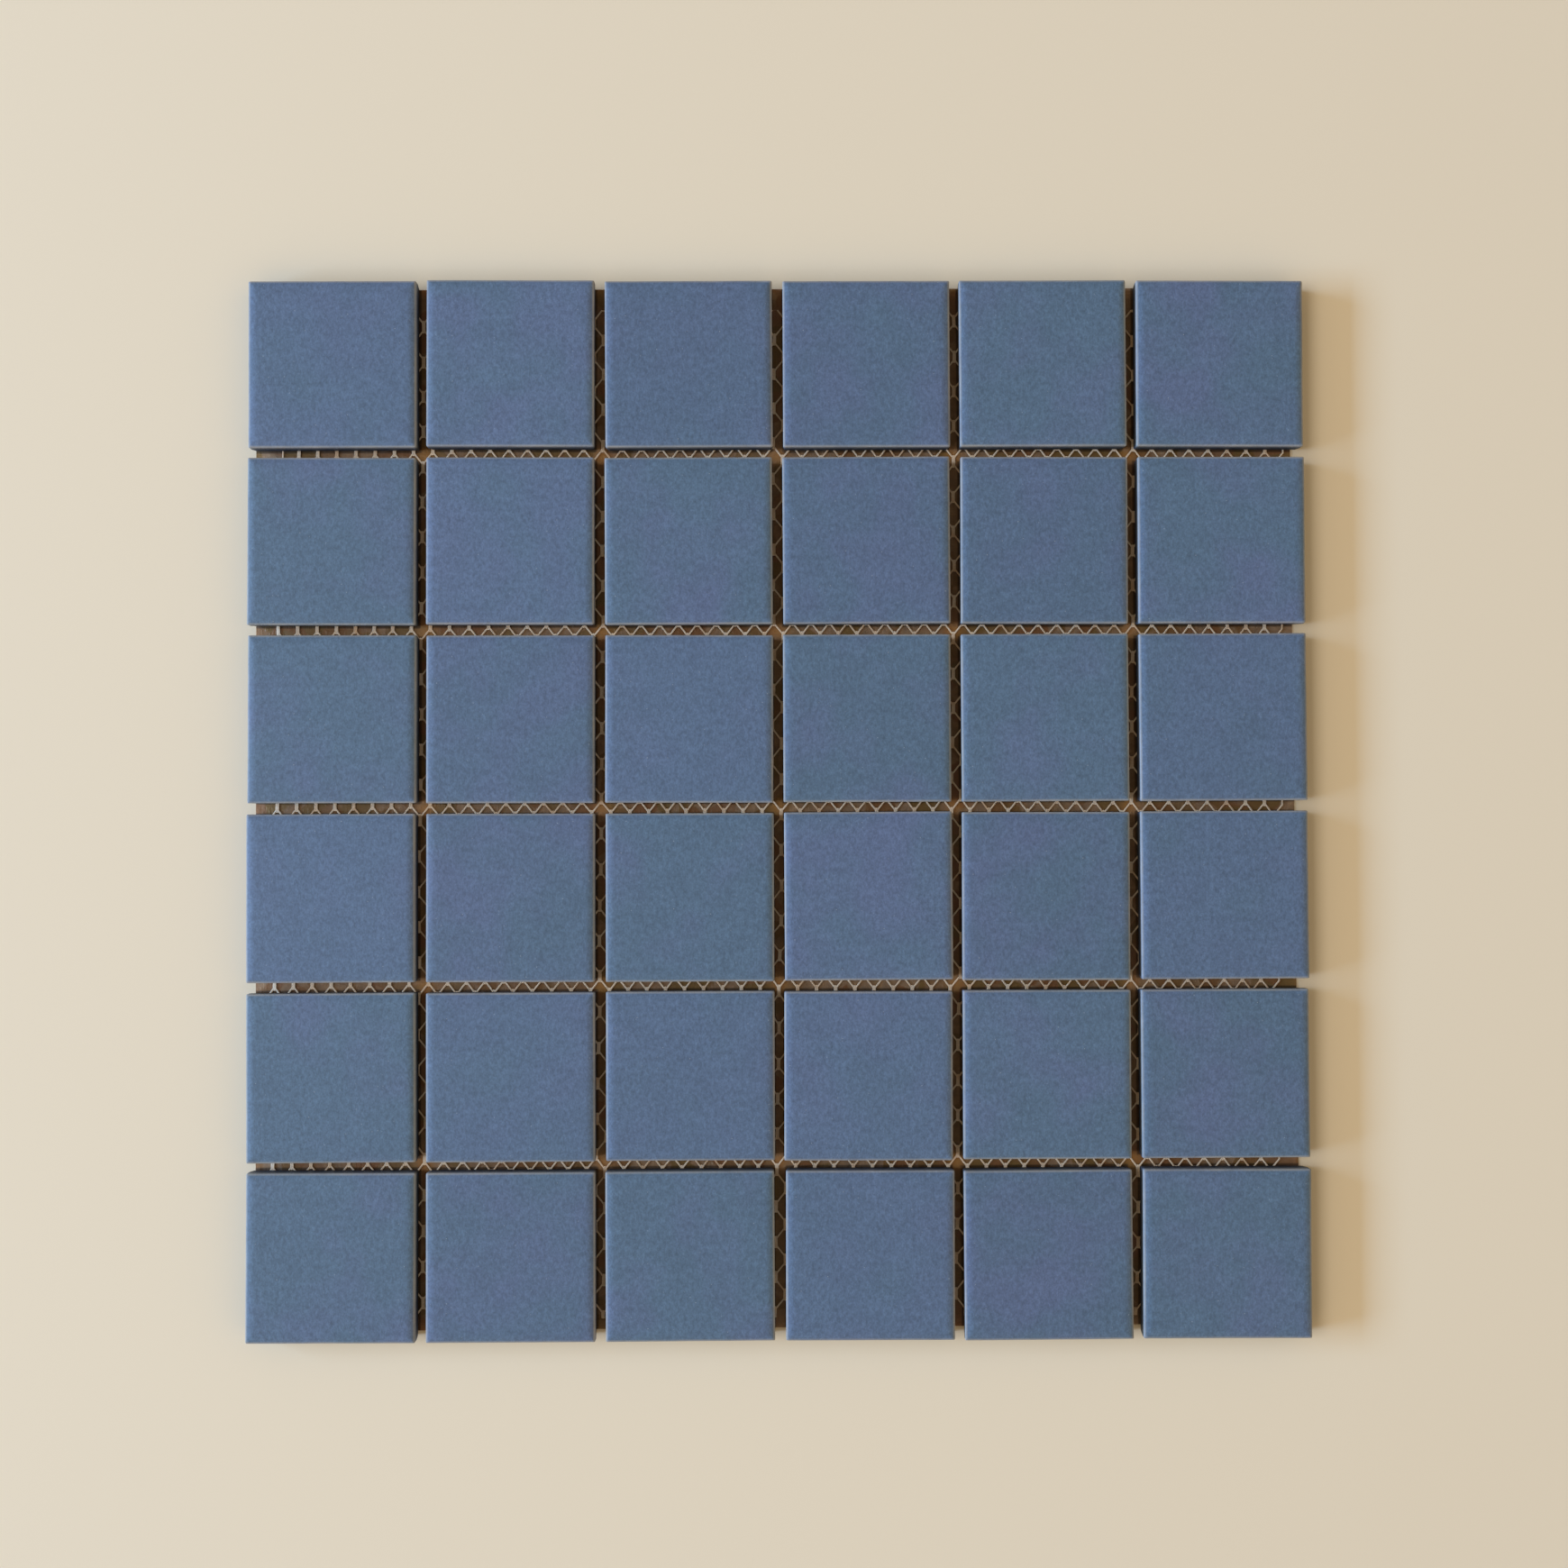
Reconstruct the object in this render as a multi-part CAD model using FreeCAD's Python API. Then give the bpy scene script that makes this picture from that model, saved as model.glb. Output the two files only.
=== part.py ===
import FreeCAD, Part
import math
import os
import random

# Sheet of 36 square porcelain mosaic tiles, stuck in rows of six to a backing of net and kraft paper.
# Millimetres, +Z up. The origin is the middle of the sheet's underside. +X runs along a row of tiles,
# row 1 is the far row at +Y, column 1 is the left one at -X, and the tiles' faces look up.

# Layout of the sheet
ROWS = 6
COLUMNS = 6
TILE_SIDE = 48.0
JOINT_WIDTH = 3.0

# One pressed tile
TILE_THICKNESS = 6.0
CORNER_RADIUS = 0.4
CUSHION_WIDTH = 2.6
CUSHION_DROP = 0.45
ARRIS_RADIUS = 0.35
FOOT_INSET = 0.35
FOOT_TAPER_HEIGHT = 3.4

# Key pockets pressed into a tile's back
KEY_COUNT = 2
KEY_WIDTH = 16.0
KEY_DEPTH = 0.4
KEY_MARGIN = 4.5

# Backing, from the floor up: kraft paper, then the net that the tiles are stuck to. Insets are
# measured in from the edges of the tiled area.
PAPER_THICKNESS = 0.2
PAPER_INSET = 1.2
PAPER_SHIFT_LEFT = 0.6
PAPER_SHIFT_FAR = 0.7
PAPER_TURN_DEGREES = 0.12
NET_THICKNESS = 0.4
NET_INSET_FAR = 6.7
NET_INSET_NEAR = 4.9
NET_INSET_RIGHT_FAR_END = 2.3
NET_INSET_RIGHT_NEAR_END = 6.4
NET_INSET_LEFT_FAR_END = 9.3
NET_INSET_LEFT_NEAR_END = 1.7

# How far a hand-filled jig lets a tile stray from its place
LAYING_SHIFT = 0.16
LAYING_TURN_DEGREES = 0.22
LAYING_SEED = 48

# Sizes that follow from those above
PITCH = TILE_SIDE + JOINT_WIDTH
SHEET_LENGTH_X = COLUMNS * PITCH - JOINT_WIDTH
SHEET_LENGTH_Y = ROWS * PITCH - JOINT_WIDTH
TILE_FOOT_Z = PAPER_THICKNESS + NET_THICKNESS

# The cushion is an arc that ends level with the face. The arris is a small arc that starts upright
# at the tile's side and runs into the cushion without a corner.
CUSHION_RADIUS = (CUSHION_WIDTH**2 + CUSHION_DROP**2) / (2 * CUSHION_DROP)
CUSHION_CENTRE_X = TILE_SIDE / 2 - CUSHION_WIDTH
CUSHION_CENTRE_Z = TILE_THICKNESS - CUSHION_RADIUS
ARRIS_CENTRE_X = TILE_SIDE / 2 - ARRIS_RADIUS
ARRIS_CENTRE_Z = CUSHION_CENTRE_Z + math.sqrt(
    (CUSHION_RADIUS - ARRIS_RADIUS) ** 2 - (ARRIS_CENTRE_X - CUSHION_CENTRE_X) ** 2
)


def line(start, end):
    return Part.LineSegment(start, end).toShape()


def arc(centre, radius, start_degrees, end_degrees, upright=False):
    """An arc from one angle to another, from +X towards +Y, or towards +Z if it is upright."""
    points = []
    for degrees in (start_degrees, (start_degrees + end_degrees) / 2, end_degrees):
        along = radius * math.cos(math.radians(degrees))
        across = radius * math.sin(math.radians(degrees))
        offset = FreeCAD.Vector(along, 0, across) if upright else FreeCAD.Vector(along, across, 0)
        points.append(centre + offset)
    return Part.Arc(*points).toShape()


def right_half_profile():
    """A tile's section at its right: up the side, over the arris and along the cushion."""
    half = TILE_SIDE / 2
    arris_centre = FreeCAD.Vector(ARRIS_CENTRE_X, 0, ARRIS_CENTRE_Z)
    cushion_centre = FreeCAD.Vector(CUSHION_CENTRE_X, 0, CUSHION_CENTRE_Z)
    between = arris_centre - cushion_centre
    join_degrees = math.degrees(math.atan2(between.z, between.x))
    return [
        line(FreeCAD.Vector(half, 0, 0), FreeCAD.Vector(half, 0, ARRIS_CENTRE_Z)),
        arc(arris_centre, ARRIS_RADIUS, 0, join_degrees, upright=True),
        arc(cushion_centre, CUSHION_RADIUS, join_degrees, 90, upright=True),
    ]


def profile_bar():
    """The section of a tile's face drawn out along Y, well past the tile at both ends."""
    length = TILE_SIDE + 2 * JOINT_WIDTH
    right = right_half_profile()
    left = [edge.mirror(FreeCAD.Vector(), FreeCAD.Vector(1, 0, 0)) for edge in right]
    face_right = FreeCAD.Vector(CUSHION_CENTRE_X, 0, TILE_THICKNESS)
    face_left = FreeCAD.Vector(-CUSHION_CENTRE_X, 0, TILE_THICKNESS)
    foot_right = FreeCAD.Vector(TILE_SIDE / 2, 0, 0)
    foot_left = FreeCAD.Vector(-TILE_SIDE / 2, 0, 0)
    edges = [*right, line(face_right, face_left), *left, line(foot_left, foot_right)]
    outline = Part.Wire(Part.__sortEdges__(edges))
    bar = Part.Face(outline).extrude(FreeCAD.Vector(0, length, 0))
    bar.translate(FreeCAD.Vector(0, -length / 2, 0))
    return bar


def rounded_square(side, z):
    """A level square outline with the tile's corner radius."""
    reach = side / 2 - CORNER_RADIUS
    corners = []
    for x, y, start_degrees in ((1, 1, 0), (-1, 1, 90), (-1, -1, 180), (1, -1, 270)):
        centre = FreeCAD.Vector(x * reach, y * reach, z)
        corners.append(arc(centre, CORNER_RADIUS, start_degrees, start_degrees + 90))
    edges = []
    for number, corner in enumerate(corners):
        following = corners[(number + 1) % len(corners)]
        edges.append(corner)
        edges.append(line(corner.Vertexes[-1].Point, following.Vertexes[0].Point))
    return Part.Wire(edges)


def tapered_post():
    """The tile's sides and upright corners: upright below the face, and drawn in towards the foot."""
    foot = rounded_square(TILE_SIDE - 2 * FOOT_INSET, 0)
    shoulder = rounded_square(TILE_SIDE, FOOT_TAPER_HEIGHT)
    lower = Part.makeLoft([foot, shoulder], True, True)
    land = FreeCAD.Vector(0, 0, TILE_THICKNESS - FOOT_TAPER_HEIGHT)
    upper = Part.Face(shoulder).extrude(land)
    return lower.fuse(upper)


def key_pockets():
    """Shallow pockets side by side in the back, which stop short of its edges."""
    span = TILE_SIDE - 2 * (FOOT_INSET + KEY_MARGIN)
    step = (span - KEY_WIDTH) / (KEY_COUNT - 1)
    pockets = []
    for number in range(KEY_COUNT):
        low = FreeCAD.Vector(-span / 2 + number * step, -span / 2, 0)
        pockets.append(Part.makeBox(KEY_WIDTH, span, KEY_DEPTH, low))
    return Part.makeCompound(pockets)


def pressed_tile():
    """One tile with its foot centred on the origin: where two crossed bars and the post overlap."""
    along = profile_bar()
    across = profile_bar()
    across.rotate(FreeCAD.Vector(), FreeCAD.Vector(0, 0, 1), 90)
    body = along.common(across).common(tapered_post())
    return body.cut(key_pockets()).removeSplitter().Solids[0]


def laid_tiles():
    """Every tile in its place, by node name, each a little off true as a jig leaves it."""
    tile = pressed_tile()
    chance = random.Random(LAYING_SEED)
    laid = {}
    for row in range(ROWS):
        for column in range(COLUMNS):
            shift_x = chance.uniform(-LAYING_SHIFT, LAYING_SHIFT)
            shift_y = chance.uniform(-LAYING_SHIFT, LAYING_SHIFT)
            turn = chance.uniform(-LAYING_TURN_DEGREES, LAYING_TURN_DEGREES)
            x = (column - (COLUMNS - 1) / 2) * PITCH + shift_x
            y = ((ROWS - 1) / 2 - row) * PITCH + shift_y
            copy = tile.copy()
            copy.rotate(FreeCAD.Vector(), FreeCAD.Vector(0, 0, 1), turn)
            copy.translate(FreeCAD.Vector(x, y, TILE_FOOT_Z))
            laid[f"tile_row{row + 1}_column{column + 1}"] = copy
    return laid


def flat_piece(corners, low_z, thickness):
    """A flat sheet with straight edges between its corners, given anticlockwise from above."""
    points = [FreeCAD.Vector(x, y, low_z) for x, y in corners]
    outline = Part.makePolygon([*points, points[0]])
    return Part.Face(outline).extrude(FreeCAD.Vector(0, 0, thickness))


def backing_paper():
    """The kraft paper, cut square, a little smaller than the tiled area and laid a little off true."""
    x = SHEET_LENGTH_X / 2 - PAPER_INSET
    y = SHEET_LENGTH_Y / 2 - PAPER_INSET
    paper = flat_piece([(-x, -y), (x, -y), (x, y), (-x, y)], 0, PAPER_THICKNESS)
    paper.rotate(FreeCAD.Vector(), FreeCAD.Vector(0, 0, 1), PAPER_TURN_DEGREES)
    paper.translate(FreeCAD.Vector(-PAPER_SHIFT_LEFT, PAPER_SHIFT_FAR, 0))
    return paper


def backing_net():
    """The net's outer shape. It is cut by hand, shorter than the paper, and its far end leans right."""
    x = SHEET_LENGTH_X / 2
    y = SHEET_LENGTH_Y / 2
    corners = [
        (-x + NET_INSET_LEFT_NEAR_END, -y + NET_INSET_NEAR),
        (x - NET_INSET_RIGHT_NEAR_END, -y + NET_INSET_NEAR),
        (x - NET_INSET_RIGHT_FAR_END, y - NET_INSET_FAR),
        (-x + NET_INSET_LEFT_FAR_END, y - NET_INSET_FAR),
    ]
    return flat_piece(corners, PAPER_THICKNESS, NET_THICKNESS)


def main():
    os.makedirs("parts", exist_ok=True)
    pieces = laid_tiles()
    pieces["backing_net"] = backing_net()
    pieces["backing_paper"] = backing_paper()
    for name, shape in pieces.items():
        shape.exportStep(f"parts/{name}.step")
    volume = sum(shape.Volume for shape in pieces.values())
    print(f"{len(pieces)} pieces, {volume / 1000:.1f} cubic centimetres")
    print(f"tiled area {SHEET_LENGTH_X:g} x {SHEET_LENGTH_Y:g} mm")


main()
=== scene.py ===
# %% [markdown]
# A sheet of square mosaic tiles
#
# The object is a sheet of 36 small porcelain tiles, laid face up. A fine net and a sheet of brown
# kraft paper hold them at an even joint until a tiler beds the sheet into adhesive.
# The solids of the sheet are loaded first as a fixed frame: they say where each tile lies and how
# thick each layer is. This script then makes the surfaces that a camera sees, round that frame.

# %% Load the fixed frame
import math

import bpy
import numpy as np
from mathutils import Matrix, Vector


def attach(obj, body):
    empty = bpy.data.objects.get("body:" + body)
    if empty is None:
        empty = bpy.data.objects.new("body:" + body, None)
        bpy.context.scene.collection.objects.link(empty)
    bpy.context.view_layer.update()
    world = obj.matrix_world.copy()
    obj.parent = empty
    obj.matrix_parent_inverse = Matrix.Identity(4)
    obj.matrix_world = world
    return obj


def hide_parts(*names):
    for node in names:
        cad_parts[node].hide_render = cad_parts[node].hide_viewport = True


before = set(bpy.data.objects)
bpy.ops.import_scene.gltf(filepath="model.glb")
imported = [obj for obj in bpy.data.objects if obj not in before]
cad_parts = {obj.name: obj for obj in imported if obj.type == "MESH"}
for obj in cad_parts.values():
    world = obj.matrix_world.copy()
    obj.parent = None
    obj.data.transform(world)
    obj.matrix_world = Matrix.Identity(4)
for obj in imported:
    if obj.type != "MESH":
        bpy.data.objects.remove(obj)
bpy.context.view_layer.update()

MM = 0.001
tile_nodes = sorted(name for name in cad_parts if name.startswith("tile_"))

# %% [markdown]
# Two small helpers
#
# Every piece below is worked out as whole arrays of points and faces. Blender takes such arrays in
# one go with foreach_set, which is far quicker than adding vertices one by one. A face is a row of
# four point numbers, given anticlockwise as seen from outside, so that it points outwards.


# %% Turn arrays into a piece
def make_piece(name, points, faces, stands_for):
    """A mesh object from an array of points in metres and an array of four-sided faces."""
    mesh = bpy.data.meshes.new(name)
    mesh.vertices.add(len(points))
    mesh.vertices.foreach_set("co", points.astype(np.float32).ravel())
    mesh.loops.add(faces.size)
    mesh.loops.foreach_set("vertex_index", faces.astype(np.int32).ravel())
    mesh.polygons.add(len(faces))
    mesh.polygons.foreach_set("loop_start", np.arange(0, faces.size, 4, dtype=np.int32))
    mesh.polygons.foreach_set("use_smooth", np.ones(len(faces), dtype=bool))
    mesh.update(calc_edges=True)
    mesh.validate()
    piece = bpy.data.objects.new(name, mesh)
    bpy.context.scene.collection.objects.link(piece)
    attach(piece, "root")
    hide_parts(*stands_for)
    return piece


def node_points(name):
    """The vertices of a solid of the frame, as rows of x, y and z in metres."""
    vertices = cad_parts[name].data.vertices
    points = np.empty(3 * len(vertices), dtype=np.float32)
    vertices.foreach_get("co", points)
    return points.reshape(-1, 3).astype(float)


# %% [markdown]
# Where each tile lies
#
# On the real sheet a jig sets the tiles by hand, so no two lie quite alike. The solids already have
# those small errors. A tile is the same from all four sides, so its centre is the middle of its box,
# and its turn is how far the corners of its level face are off the diagonals.

# %% Read the tiles' places
LEVEL_WITHIN = 0.001 * MM


def square_place(name):
    """Centre and turn of a square. The turn is the mean of its top corners' angles, less 45 degrees."""
    points = node_points(name)
    centre = (points.min(axis=0) + points.max(axis=0)) / 2
    face = points[points[:, 2] > points[:, 2].max() - LEVEL_WITHIN] - centre
    angles = np.arctan2(face[:, 1], face[:, 0])
    off_diagonal = (angles + math.pi) % (math.pi / 2) - math.pi / 4
    return centre[:2], off_diagonal.mean()


def turned(plan, angle):
    """Turns x and y about the origin, anticlockwise."""
    x, y = plan[..., 0], plan[..., 1]
    cos, sin = math.cos(angle), math.sin(angle)
    return np.stack([x * cos - y * sin, x * sin + y * cos], axis=-1)


def square_side(name):
    """A square's full width, measured square to its own sides."""
    centre, turn = square_place(name)
    return 2 * np.abs(turned(node_points(name)[:, :2] - centre, -turn)[:, 0]).max()


places = {name: square_place(name) for name in tile_nodes}
TILE_SIDE = square_side(tile_nodes[0])
TILE_FOOT_Z = node_points(tile_nodes[0])[:, 2].min()
TILE_FACE_Z = node_points(tile_nodes[0])[:, 2].max()
print("tile side", round(TILE_SIDE / MM, 2), "thickness", round((TILE_FACE_Z - TILE_FOOT_Z) / MM, 2), "mm")

# %% [markdown]
# One porcelain tile
#
# A porcelain tile is dry clay powder pressed in a steel die, then fired. The die leaves a level face,
# a cushion that falls away gently all round it, a small rounded arris, and sides that draw in towards
# the foot so the tile leaves the die. A box with a Bevel modifier could pass for it from afar, but
# one bevel can't hold both the wide shallow cushion and the tight arris under it.
# So the tile is a surface of two parameters: one runs round the outline, a square with rounded
# corners, and the other runs down its section, from the rim of the level face to the foot. The level
# face and the back are grids whose outer rows are the first and last outline.

# %% Outline of a tile
CELLS_PER_SIDE = 28
CORNER_RADIUS = 0.4 * MM


def side_share(t):
    """Spreads even steps of t, from -1 to 1, so that they crowd together towards both corners."""
    return 1.5 * t - 0.5 * t**3


def rounded_side(share, half, radius):
    """The right-hand side of a rounded square, from its lower to its upper corner.

    share is the distance along the side, from -1 to 1. Up to where the corner starts, the point is on
    a straight line at x = half, and past it on an arc of the corner's radius.
    """
    straight = half - radius
    along = share * (straight + radius * math.pi / 4)
    past = np.maximum(np.abs(along) - straight, 0.0)
    angle = past / radius
    x = straight + radius * np.cos(angle)
    y = np.sign(along) * (np.minimum(np.abs(along), straight) + radius * np.sin(angle))
    return np.stack([x, y], axis=-1)


def quarter_turn(points, quarters):
    """Turns x and y by whole quarter turns, anticlockwise."""
    turn = np.array([[1, 0], [0, 1]])
    for _ in range(quarters):
        turn = turn @ np.array([[0, 1], [-1, 0]])
    return points @ turn


def outline(half, radius):
    """All four sides of a rounded square in one loop, anticlockwise, each side without its last point."""
    steps = side_share(np.linspace(-1, 1, CELLS_PER_SIDE + 1))[:-1]
    side = rounded_side(steps, half, radius)
    return np.concatenate([quarter_turn(side, quarters) for quarters in range(4)])


def face_grid(half, radius):
    """A square grid of points inside an outline: nested copies of it, each one cell smaller.

    A grid point's ring is the larger of its two distances from the middle, and its place on the ring
    is the smaller one divided by the larger.
    """
    t = np.linspace(-1, 1, CELLS_PER_SIDE + 1)
    across, up = np.meshgrid(t, t, indexing="ij")
    ring = np.maximum(np.abs(across), np.abs(up))
    safe_ring = np.where(ring > 0, ring, 1)
    points = np.zeros(across.shape + (2,))
    for quarters, (ahead, aside) in enumerate([(across, up), (up, -across), (-across, -up), (-up, across)]):
        on_this_side = (ahead >= np.abs(aside)) & (ring > 0)
        share = side_share(np.clip(aside / safe_ring, -1, 1))
        side = quarter_turn(rounded_side(share, half, radius), quarters)
        points[on_this_side] = (side * ring[..., None])[on_this_side]
    return points


print("points round a tile:", len(outline(TILE_SIDE / 2, CORNER_RADIUS)))

# %% [markdown]
# The section of a tile
#
# The section is a list of stations, each with its distance in from the tile's full width and its
# height. The cushion is a flat arc that ends level with the face. The arris is a small arc that meets
# it without a corner. Below it the side is upright, then draws in to the foot.

# %% Section of a tile
CUSHION_WIDTH = 2.6 * MM
CUSHION_DROP = 0.45 * MM
ARRIS_RADIUS = 0.35 * MM
FOOT_INSET = 0.35 * MM
FOOT_TAPER_HEIGHT = 3.4 * MM
FACE_CORNER_RADIUS = 0.7 * MM
CUSHION_STATIONS = 6
ARRIS_STATIONS = 5


def arc_stations(centre_in, centre_z, radius, start, end, count):
    """Stations on an arc: inset falls and height follows as the angle goes from start down to end."""
    angles = np.linspace(start, end, count)
    return np.stack([centre_in - radius * np.cos(angles), centre_z + radius * np.sin(angles)], axis=-1)


def tile_section():
    """Rows of inset and height above the foot, from the rim of the level face down to the foot."""
    thickness = TILE_FACE_Z - TILE_FOOT_Z
    cushion_radius = (CUSHION_WIDTH**2 + CUSHION_DROP**2) / (2 * CUSHION_DROP)
    cushion_z = thickness - cushion_radius
    inwards = CUSHION_WIDTH - ARRIS_RADIUS
    arris_z = cushion_z + math.sqrt((cushion_radius - ARRIS_RADIUS) ** 2 - inwards**2)
    meeting = math.atan2(arris_z - cushion_z, inwards)
    cushion = arc_stations(CUSHION_WIDTH, cushion_z, cushion_radius, math.pi / 2, meeting, CUSHION_STATIONS)
    arris = arc_stations(ARRIS_RADIUS, arris_z, ARRIS_RADIUS, meeting, 0, ARRIS_STATIONS)[1:]
    side = np.array([[0.0, FOOT_TAPER_HEIGHT], [FOOT_INSET, 0.0]])
    return np.concatenate([cushion, arris, side])


section = tile_section()
print("section stations:", len(section))

# %% [markdown]
# Join outlines and grids into a closed tile
#
# Each station of the section carries one outline. The first outline is also the rim of the face grid,
# and the last is the rim of the back grid, so the shell is closed with no doubled points. The back
# has two shallow pockets that key into the adhesive. A slow wave of two hundredths of a millimetre
# along the arris keeps its edge from looking drawn with a ruler.

# %% Tile mesh
POCKET_DEPTH = 0.4 * MM
POCKET_EDGE = 19.1 * MM
POCKET_RIB = 3.1 * MM
POCKET_WALL = 0.8 * MM
EDGE_WAVE = 0.02 * MM
EDGE_WAVE_LENGTH = 17 * MM
FACE_RELIEF = 0.012 * MM
FACE_RELIEF_LENGTH = 14 * MM
WAVE_COUNT = 5


def rim_indices():
    """The point numbers of a grid's outer row, in the same order as an outline."""
    last = CELLS_PER_SIDE
    numbers = np.arange((last + 1) ** 2).reshape(last + 1, last + 1)
    right, far = numbers[last, :-1], numbers[:0:-1, last]
    left, near = numbers[0, :0:-1], numbers[:-1, 0]
    return np.concatenate([right, far, left, near])


def grid_faces(flip):
    """Four-sided faces of a grid. They point up, or down if flip is set."""
    last = CELLS_PER_SIDE
    numbers = np.arange((last + 1) ** 2).reshape(last + 1, last + 1)
    low, right = numbers[:-1, :-1].ravel(), numbers[1:, :-1].ravel()
    high, left = numbers[1:, 1:].ravel(), numbers[:-1, 1:].ravel()
    faces = np.stack([low, right, high, left], axis=-1)
    return faces[:, ::-1] if flip else faces


def slow_wave(where, size, amount, chance):
    """A smooth random height: the mean of a few plane sine waves of about the given length."""
    total = np.zeros(where.shape[:-1])
    for _ in range(WAVE_COUNT):
        heading = chance.uniform(0, 2 * math.pi)
        stretch = chance.uniform(0.7, 1.4)
        start = chance.uniform(0, 2 * math.pi)
        along = where[..., 0] * math.cos(heading) + where[..., 1] * math.sin(heading)
        total += np.sin(along * 2 * math.pi / (size * stretch) + start)
    return total * amount / WAVE_COUNT


def back_height(points):
    """How far the back is pressed in: the pocket's depth inside it, falling to nothing at its edges."""
    x, y = np.abs(points[..., 0]), np.abs(points[..., 1])
    inside_x = np.clip((POCKET_EDGE - x) / POCKET_WALL, 0, 1) * np.clip((x - POCKET_RIB) / POCKET_WALL, 0, 1)
    inside_y = np.clip((POCKET_EDGE - y) / POCKET_WALL, 0, 1)
    return POCKET_DEPTH * inside_x * inside_y


def tile_mesh(chance):
    """Points and faces of one tile with its foot centred on the origin, and its arris and side shares."""
    half = TILE_SIDE / 2
    thickness = TILE_FACE_Z - TILE_FOOT_Z
    first_inset = section[0, 0]
    radii = np.interp(section[:, 0], [0, first_inset], [CORNER_RADIUS, FACE_CORNER_RADIUS])

    face = face_grid(half - first_inset, radii[0])
    back = face_grid(half - section[-1, 0], radii[-1])
    face_z = thickness + slow_wave(face, FACE_RELIEF_LENGTH, FACE_RELIEF, chance)
    face_points = np.concatenate([face, face_z[..., None]], axis=-1).reshape(-1, 3)
    back_points = np.concatenate([back, back_height(back)[..., None]], axis=-1).reshape(-1, 3)

    rings = []
    for (inset, height), radius in zip(section[1:-1], radii[1:-1]):
        ring = outline(half - inset, radius)
        nearness = max(0.0, 1 - inset / CUSHION_WIDTH)
        wave = slow_wave(ring, EDGE_WAVE_LENGTH, EDGE_WAVE * nearness / half, chance)
        ring = ring * (1 - np.abs(wave))[:, None]
        rings.append(np.concatenate([ring, np.full((len(ring), 1), height)], axis=-1))
    ring_points = np.concatenate(rings)

    rim = rim_indices()
    around = len(rim)
    ring_start = len(face_points)
    back_start = ring_start + len(ring_points)
    loops = [rim]
    loops += [ring_start + around * number + np.arange(around) for number in range(len(rings))]
    loops += [back_start + rim]
    loops = np.array(loops)
    following = np.roll(loops, -1, axis=1)
    sides = np.stack([loops[:-1], loops[1:], following[1:], following[:-1]], axis=-1).reshape(-1, 4)
    faces = np.concatenate([grid_faces(flip=False), sides, back_start + grid_faces(flip=True)])

    points = np.concatenate([face_points, ring_points, back_points])
    arris = np.zeros(len(points))
    arris_rings = np.flatnonzero((section[1:-1, 0] < ARRIS_RADIUS) & (section[1:-1, 1] > FOOT_TAPER_HEIGHT))
    for number in arris_rings:
        arris[loops[number + 1]] = 1.0
    # Points on the sides below the arris, which the material darkens as painted shade
    painted_shade_side = np.zeros(len(points))
    for number in range(arris_rings[-1] + 1, len(loops) - 1):
        painted_shade_side[loops[number + 1]] = 1.0
    return points, faces, arris, painted_shade_side


def place_tile(points, centre, turn):
    """Turns a tile about its middle and moves its foot to its place on the sheet."""
    plan = turned(points, turn) + centre
    return np.concatenate([plan, points[:, 2:] + TILE_FOOT_Z], axis=-1)


# %% [markdown]
# Lay the tiles
#
# Tiles from one firing still differ: some came out a little darker, some a little more violet or more
# green. That is one number for each tile for its depth of colour and one for its hue. They are stored
# in the mesh as attributes, which the material reads, so that all tiles can share one material.

# %% All the tiles
SHARP_ANGLE = math.radians(50)
FIRST_TILE_SEED = 100


def store_attribute(mesh, name, values):
    """Keeps one number for each point under a name that a material can read."""
    attribute = mesh.attributes.new(name, "FLOAT", "POINT")
    attribute.data.foreach_set("value", np.asarray(values, dtype=np.float32))


tiles = []
for number, node in enumerate(tile_nodes):
    chance = np.random.default_rng(FIRST_TILE_SEED + number)
    points, faces, arris, painted_shade_side = tile_mesh(chance)
    centre, turn = places[node]
    placed = place_tile(points, centre, turn)
    tile = make_piece(node.replace("tile_", "porcelain_"), placed, faces, [node])
    tile.data.set_sharp_from_angle(angle=SHARP_ANGLE)
    store_attribute(tile.data, "arris", arris)
    store_attribute(tile.data, "painted_shade_side", painted_shade_side)
    store_attribute(tile.data, "depth_of_colour", np.full(len(points), chance.uniform(-1, 1)))
    store_attribute(tile.data, "hue_drift", np.full(len(points), chance.uniform(-1, 1)))
    tiles.append(tile)
print(len(tiles), "tiles of", len(tiles[0].data.polygons) * 2, "triangles each")

# %% [markdown]
# A few words for building materials
#
# A material is a graph of nodes. Written out in full, each node takes several lines, so this short
# class keeps the graph readable: add() makes a node, and a socket that is given another node's output
# is linked to it. Patterns read Object coordinates, which are metres on the sheet itself, so a size in
# millimetres stays true on every piece.


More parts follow.
